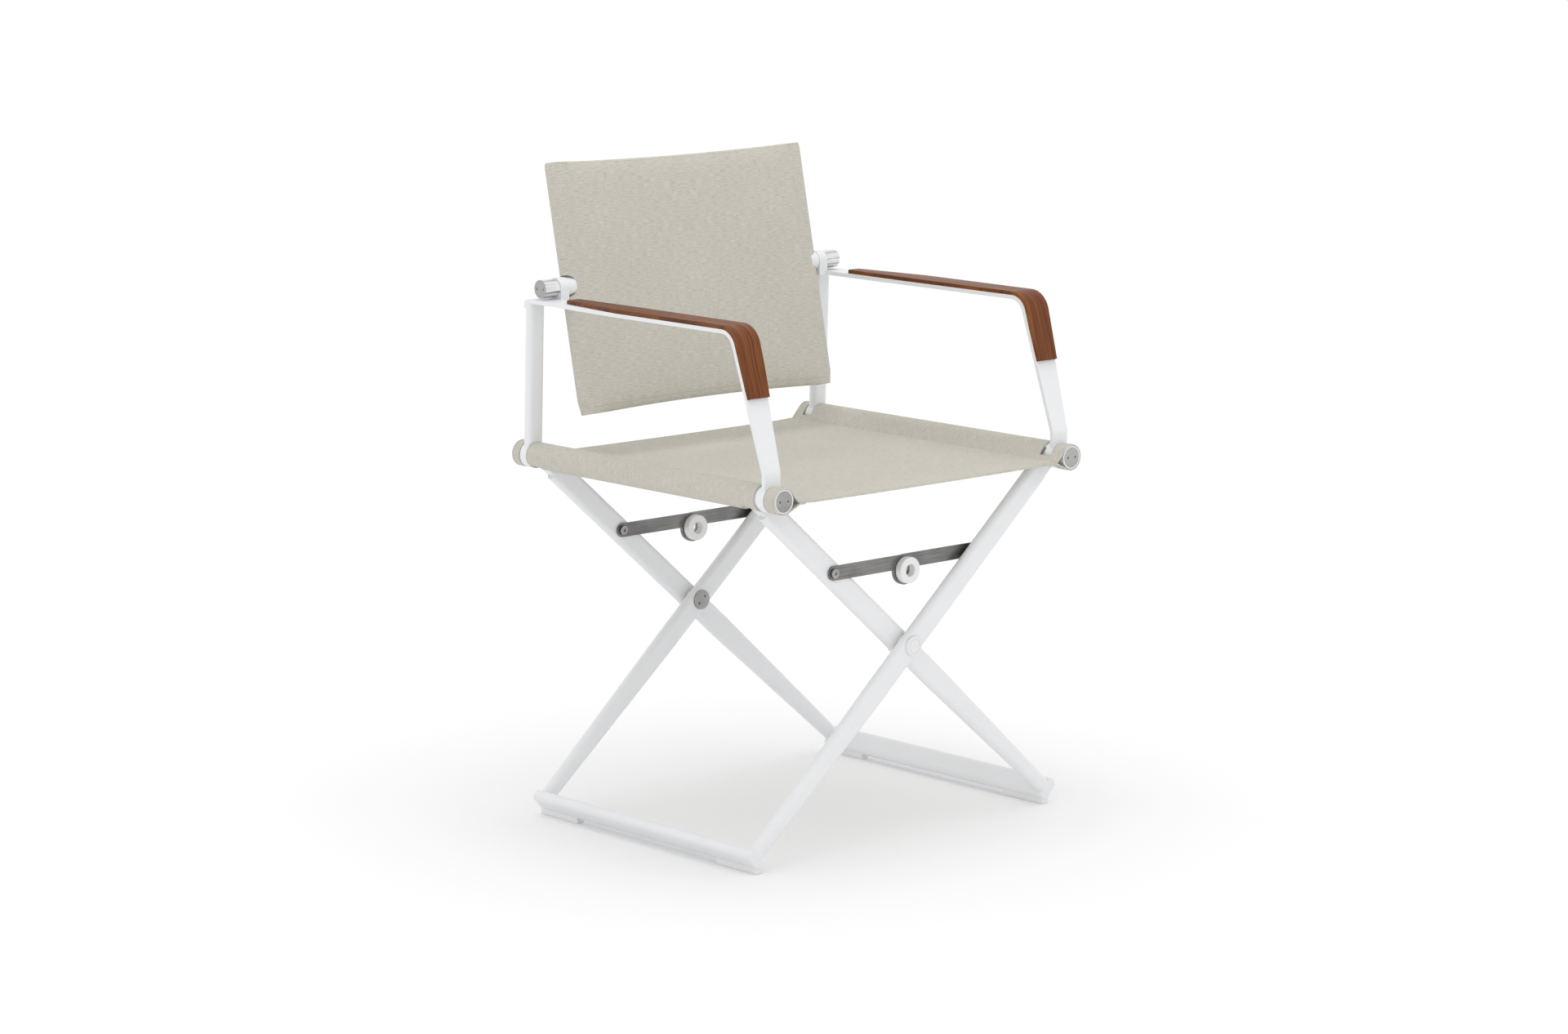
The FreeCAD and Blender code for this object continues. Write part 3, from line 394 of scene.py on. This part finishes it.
def wood_material(name):
    """Oiled teak-like wood: the grain runs along Y and Z, fine lines across X."""
    n = Nodes(name)
    place = n.coordinates()
    wander = n.noise(n.place(place, (8, 5, 5)), 1.0, 2.0)
    moved = n.add("ShaderNodeCombineXYZ", {"X": n.maths("MULTIPLY", wander, 0.02)})
    bent = n.add("ShaderNodeVectorMath", {0: place, 1: moved.outputs[0]}, operation="ADD").outputs[0]
    grain = n.noise(n.place(bent, (330, 5, 5)), 1.0, 4.0, 0.62)
    broad = n.noise(n.place(bent, (70, 3, 3)), 1.0, 2.0, 0.5)
    pores = n.noise(n.place(bent, (1500, 46, 46)), 1.0, 2.0, 0.5)
    color = n.ramp(grain, [(0.30, (0.080, 0.019, 0.0030)), (0.48, (0.168, 0.047, 0.0080)),
                           (0.66, (0.26, 0.080, 0.017))])
    color = n.blend("MULTIPLY", 0.55, color, n.ramp(broad, [(0.35, (0.66, 0.60, 0.55)), (0.65, (1, 1, 1))]))
    color = n.blend("MULTIPLY", 0.55, color, n.ramp(pores, [(0.34, (0.42, 0.36, 0.32)), (0.44, (1, 1, 1))]))
    n.bump(n.maths("ADD", grain, n.maths("MULTIPLY", pores, 0.6)), 0.20, 0.0003)
    return n.finish(Base_Color=color, Roughness=n.range(grain, 0.52, 0.38), Specular_IOR_Level=0.24)


CLOTH = cloth_material("sling_cloth")
THREAD = coat_material("sewing_thread", (0.40, 0.375, 0.31), 3000.0, (0.7, 0.85))
WHITE = coat_material("white_coat")
PLASTIC = coat_material("white_plastic", (0.80, 0.80, 0.80), 900.0, (0.28, 0.36))
FLAT_STEEL = steel_material("brushed_bar", (14, 14, 950), (0.17, 0.168, 0.162), (0.30, 0.296, 0.286))
DISC_STEEL = steel_material("brushed_disc", (700, 700, 700), (0.36, 0.36, 0.355), (0.50, 0.50, 0.49))
KNOB_STEEL = turned_material("turned_knob")
WOOD = wood_material("armrest_wood")

BY_SLOT = {"frame_white": WHITE, "steel": FLAT_STEEL, "teak": WOOD, "sling_cloth": CLOTH,
           "white_plastic": PLASTIC}
BY_NODE = {"back_bolt_left": KNOB_STEEL, "back_bolt_right": KNOB_STEEL}
for part in ("rail_plugs_left", "rail_plugs_right", "cross_pin_front", "cross_pin_rear",
             "stay_screws_a", "stay_screws_b"):
    BY_NODE[part] = DISC_STEEL
for row in frame["record"]["subparts"]:
    material = BY_NODE.get(row["node"], BY_SLOT[row["material_slot"]])
    nodes[row["node"]].material_slots[0].material = material


# ---------------------------------------------------------------- seat
def seat_section():
    """(x, z) of the seat cloth of the left side: tail, round the rail, seam, to the middle."""
    radius = RAIL_R + SLEEVE_ROOM + CLOTH_T / 2
    centre = Vector((RAIL_X, RAIL_Z))
    seam = Vector((SEAM_X, SEAM_Z)) - centre
    bearing = math.atan2(seam.y, seam.x)
    spread = math.acos(radius / seam.length)
    start, end = bearing + spread - 2 * math.pi, bearing - spread
    points = [(x, SEAM_Z - SEAM_LIFT) for x in span(SEAM_X - TAIL, SEAM_X, STEP_FINE)]

    def on_rail(angle):
        return centre + Vector((math.cos(angle), math.sin(angle))) * radius

    under = (Vector((SEAM_X, SEAM_Z - SEAM_LIFT)), on_rail(start))
    points += [tuple(under[0].lerp(under[1], t))
               for t in span(0, 1, STEP_FINE / (under[1] - under[0]).length)]
    points += [tuple(on_rail(angle)) for angle in span(start, end, STEP_ARC)]
    over = (on_rail(end), Vector((SEAM_X, SEAM_Z + SEAM_LIFT)))
    points += [tuple(over[0].lerp(over[1], t)) for t in span(0, 1, STEP_FINE / (over[1] - over[0]).length)]
    for x in span(SEAM_X, SEAM_X - SEAT_CURL, STEP_FINE) + span(SEAM_X - SEAT_CURL, 0, STEP_WIDE) + [0.0]:
        points.append((x, SEAM_Z + SEAM_LIFT))
    return points


def seat_drop(x, y):
    """How far the cloth hangs below its seams."""
    across = 1 - (x / SEAM_X) ** 2
    near_seam = smooth((SEAM_X - x) / SEAT_CURL)
    edge = min(y - RAIL_FRONT, RAIL_REAR - y)
    return near_seam * (SEAM_LIFT + SEAT_SAG * across * (0.45 + 0.55 * smooth(edge / 0.12)))


def seat_half(side, label, leg_spans):
    section = seat_section()
    lengths = [0.0]
    for a, b in zip(section, section[1:]):
        lengths.append(lengths[-1] + math.dist(a, b))
    ys = span(RAIL_FRONT, RAIL_REAR, STEP_Y) + [RAIL_REAR]
    flat_from = max(i for i, (x, _) in enumerate(section) if x > SEAM_X)
    rows = []
    for y in ys:
        row = []
        for i, (x, z) in enumerate(section):
            drop = seat_drop(x, y) if i > flat_from else 0.0
            row.append(Vector((side * x, y, z - drop)))
        rows.append(row)
    cloth = grid("seat_cloth_" + label, rows, [lengths[-1] - s for s in lengths], ys)
    thicken(cloth, CLOTH_T)
    cutters = []
    reach = RAIL_R * 2
    for ring, gap_front, gap_rear in ((rings_at[0], SHORT_RING_GAP, FRONT_RING_GAP),
                                      (rings_at[1], REAR_RING_GAP, SHORT_RING_GAP)):
        low = (SEAM_X + SLOT_START, ring[0] - gap_front, RAIL_Z - reach)
        high = (RAIL_X + reach, ring[1] + gap_rear, RAIL_Z + reach)
        cutters.append((low, high))
    for y0, y1 in leg_spans:
        low = (SEAM_X + LEG_SLOT_SIDE, y0 - LEG_SLOT_SIDE, RAIL_Z - reach)
        high = (RAIL_X + RAIL_R * 0.8, y1 + LEG_SLOT_SIDE, SEAM_Z + SEAM_LIFT)
        cutters.append((low, high))
    made = []
    for low, high in cutters:
        xs = sorted((side * low[0], side * high[0]))
        made.append(block((xs[0], low[1], low[2]), (xs[1], high[1], high[2]), SLOT_CORNER))
    cut(cloth, made)
    soften(cloth)
    cloth.data.materials.append(CLOTH)
    return cloth, section


def split_rings(node):
    """(front, rear) extents in Y of the two rings in a node."""
    ys = sorted(v.co.y for v in nodes[node].data.vertices)
    front = [y for y in ys if y < 0]
    rear = [y for y in ys if y > 0]
    return (front[0], front[-1]), (rear[0], rear[-1])


def seat_stitches(side, label, section):
    """Hem stitches inside the front and rear edges, on the upper face of the seat and over the rail."""
    line = []
    for edge, inward in ((RAIL_FRONT, 1), (RAIL_REAR, -1)):
        y = edge + inward * HEM_SEAT
        travelled, at = 0.0, STITCH[1] / 2
        for i in range(len(section) - 1):
            (ax, az), (bx, bz) = section[i], section[i + 1]
            length = math.dist((ax, az), (bx, bz))
            while at <= travelled + length and length > 0:
                t = (at - travelled) / length
                x, z = ax + (bx - ax) * t, az + (bz - az) * t
                ahead = Vector((side * (bx - ax), 0, bz - az)).normalized()
                outward = Vector((side * (bz - az), 0, -(bx - ax))).normalized()
                if z >= SEAM_Z + SEAM_LIFT - 1e-6 or x > SEAM_X:
                    drop = seat_drop(x, y) if x <= SEAM_X else 0.0
                    place = Vector((side * x, y, z - drop)) + outward * (CLOTH_T / 2)
                    line.append((place, ahead, outward))
                at += STITCH[1]
            travelled += length
    return stitches("seat_stitches_" + label, line, THREAD)


rings_at = split_rings("rail_rings_left")


def leg_extents(names):
    """Y extents of the two legs of one frame."""
    return [(low.y, high.y) for low, high in map(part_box, names)]


def bend(piece):
    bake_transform(piece)


for side, label in SIDES:
    letter = "a" if side > 0 else "b"
    legs = leg_extents(("front_leg_" + letter, "rear_leg_" + letter))
    cloth, section = seat_half(side, label, legs)
    thread = seat_stitches(side, label, section)
    for piece in (cloth, thread):
        bend(piece)
    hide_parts("seat_sleeve_" + label, "seat_panel_" + label)


# ---------------------------------------------------------------- back
def back_place(x, up, out):
    return Vector((x, PIVOT.y, PIVOT.z)) + BACK_UP * up + BACK_OUT * out


def back_edges(x):
    """Bottom and top edge of the back at x."""
    middle = 1 - min(1.0, abs(x) / (BACK_HALF_W - BACK_BAR_EDGE)) ** 2
    return BACK_BOTTOM + BOTTOM_BOW * middle, BACK_TOP - TOP_BOW * middle


def back_section(up_share):
    """(x, out) round the envelope at a share of its height, from the middle in front to the middle behind."""
    bar_x = BACK_HALF_W - BACK_BAR_EDGE
    height = BACK_TOP - BACK_BOTTOM
    up = up_share * height
    taper_h, taper_d = BOTTOM_TAPER
    round_h, round_d = TOP_ROUND
    pull = taper_d * (1 - smooth(up / taper_h)) + round_d * (1 - math.sqrt(
        max(0.0, 1 - (1 - min(1.0, (height - up) / round_h)) ** 2)))
    edge = min(up, height - up)
    xs = span(0, bar_x, STEP_WIDE)

    def half(x):
        share = x / bar_x
        full = BACK_MIDDLE_HALF + (BACK_SIDE_R - BACK_MIDDLE_HALF) * share ** 2
        closed = BACK_HEM_HALF + (full - BACK_HEM_HALF) * smooth((share - HEM_FROM) / HEM_SPAN)
        opening = math.sqrt(max(0.0, 1 - (1 - min(1.0, edge / BACK_HEM_WIDTH)) ** 2))
        return closed + (full - closed) * opening

    def hollow(x):
        return BACK_HOLLOW * (1 - (x / bar_x) ** 2)

    front = [(x, hollow(x) - half(x)) for x in xs]
    reach = BACK_BAR_EDGE - pull
    turn = [(bar_x + reach * math.cos(a), BACK_SIDE_R * math.sin(a))
            for a in span(-math.pi / 2, math.pi / 2, STEP_ARC)] + [(bar_x, BACK_SIDE_R)]
    rear = [(x, hollow(x) + half(x)) for x in reversed(xs)]
    return front + turn + rear


def back_half(side, label):
    shares = [0, 0.004, 0.012, 0.025, 0.04, 0.055, 0.075, 0.095] + span(0.12, 0.88, 0.02)
    shares += [0.88, 0.905, 0.93, 0.95, 0.968, 0.98, 0.988, 0.994, 0.998, 1.0]
    rows = []
    for share in shares:
        row = []
        for x, out in back_section(share):
            low, high = back_edges(x)
            row.append(back_place(side * x, low + (high - low) * share, out))
        rows.append(row)
    first = rows[len(rows) // 2]
    lengths = [0.0]
    for a, b in zip(first, first[1:]):
        lengths.append(lengths[-1] + (b - a).length)
    height = BACK_TOP - BACK_BOTTOM
    cloth = grid("back_cloth_" + label, rows, lengths, [share * height for share in shares])
    thicken(cloth, CLOTH_T)
    build = bmesh.new()
    bmesh.ops.create_cone(build, cap_ends=True, segments=64, radius1=NOTCH_R, radius2=NOTCH_R,
                          depth=NOTCH_DEPTH)
    for vertex in build.verts:
        x, y, z = vertex.co
        vertex.co = back_place(side * (BACK_HALF_W + x), y, z)
    bmesh.ops.recalc_face_normals(build, faces=build.faces[:])
    mesh = bpy.data.meshes.new("notch")
    build.to_mesh(mesh)
    build.free()
    cut(cloth, [link("notch", mesh)])
    soften(cloth)
    cloth.data.materials.append(CLOTH)
    return cloth


def back_stitches(side, label):
    line = []
    bar_x = BACK_HALF_W - BACK_BAR_EDGE
    ahead = Vector((1, 0, 0))
    height = BACK_TOP - BACK_BOTTOM
    for inset, from_top in ((HEM_BOTTOM, False), (HEM_TOP, True)):
        share = 1 - inset / height if from_top else inset / height
        ring = back_section(share)
        for face, sign in ((ring[:len(span(0, bar_x, STEP_WIDE)) + 1], -1),
                           (ring[-len(span(0, bar_x, STEP_WIDE)) - 1:][::-1], 1)):
            for x in span(STITCH[1] / 2, bar_x, STITCH[1]):
                k = max(i for i in range(len(face)) if face[i][0] <= x + 1e-9)
                k = min(k, len(face) - 2)
                t = (x - face[k][0]) / max(1e-9, face[k + 1][0] - face[k][0])
                out = face[k][1] + (face[k + 1][1] - face[k][1]) * t
                low, high = back_edges(x)
                up = low + (high - low) * share
                line.append((back_place(side * x, up, out + sign * CLOTH_T / 2), ahead, BACK_OUT * sign))
    return stitches("back_stitches_" + label, line, THREAD)


for side, label in SIDES:
    cloth = back_half(side, label)
    thread = back_stitches(side, label)
    for piece in (cloth, thread):
        bend(piece)
    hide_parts("back_pocket_" + label, "back_panel_" + label)


# ---------------------------------------------------------------- studio and camera
def floor():
    mesh = bpy.data.meshes.new("floor")
    h = FLOOR_SIZE / 2
    mesh.from_pydata([(-h, -h, 0), (h, -h, 0), (h, h, 0), (-h, h, 0)], [], [(0, 1, 2, 3)])
    obj = link("floor", mesh)
    n = Nodes("floor_painted_shade")
    far = n.add("ShaderNodeVectorMath", {0: n.coordinates()}, operation="LENGTH").outputs["Value"]
    share = n.maths("DIVIDE", far, FLOOR_SHADE_RADIUS)
    # Painted shade: the floor paint is darker near the chair, standing in for its shadow, and rises to full
    # white further out, standing in for the top light's reach.
    painted_shade = n.ramp(share, [(0.25, (0.915, 0.915, 0.92)), (1.0, (1.0, 1.0, 1.0))])
    obj.data.materials.append(n.finish(Base_Color=painted_shade, Roughness=0.9, Specular_IOR_Level=0.0))
    return obj


def keep_under_feet(obj):
    """The floor follows the feet down as the chair folds."""
    low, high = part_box("foot_bar_a")
    mark = bpy.data.objects.new("foot_height", None)
    bpy.context.scene.collection.objects.link(mark)
    mark.location = ((low.x + high.x) / 2, 0, (low.z + high.z) / 2)
    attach(mark, "leg_frame_a")
    obj.location.z = -mark.location.z
    follow = obj.constraints.new("COPY_LOCATION")
    follow.target = mark
    follow.use_x = follow.use_y = False
    follow.use_offset = True


keep_under_feet(floor())

world = bpy.data.worlds.new("studio")
world.use_nodes = True
background = world.node_tree.nodes["Background"]
background.inputs["Color"].default_value = (1.0, 1.0, 1.0, 1)
background.inputs["Strength"].default_value = WORLD_LIGHT
bpy.context.scene.world = world


def area(name, place, target, size, power):
    lamp = bpy.data.lights.new(name, "AREA")
    lamp.shape = "DISK"
    lamp.size = size
    lamp.energy = power
    obj = bpy.data.objects.new(name, lamp)
    obj.location = place
    obj.rotation_euler = (Vector(target) - Vector(place)).to_track_quat("-Z", "Y").to_euler()
    bpy.context.scene.collection.objects.link(obj)


area("top_light", TOP_LIGHT, (0, 0, 0.4), TOP_SIZE, TOP_POWER)

camera_data = bpy.data.cameras.new("camera")
camera_data.lens = CAMERA_LENS
camera_data.sensor_width = SENSOR
camera_data.clip_end = 200
camera = bpy.data.objects.new("camera", camera_data)
camera.location = CAMERA_AT
camera.rotation_euler = (math.radians(90 - CAMERA_PITCH), 0, math.radians(-CAMERA_YAW))
bpy.context.scene.collection.objects.link(camera)
bpy.context.scene.camera = camera
bpy.context.scene.view_settings.view_transform = "Standard"
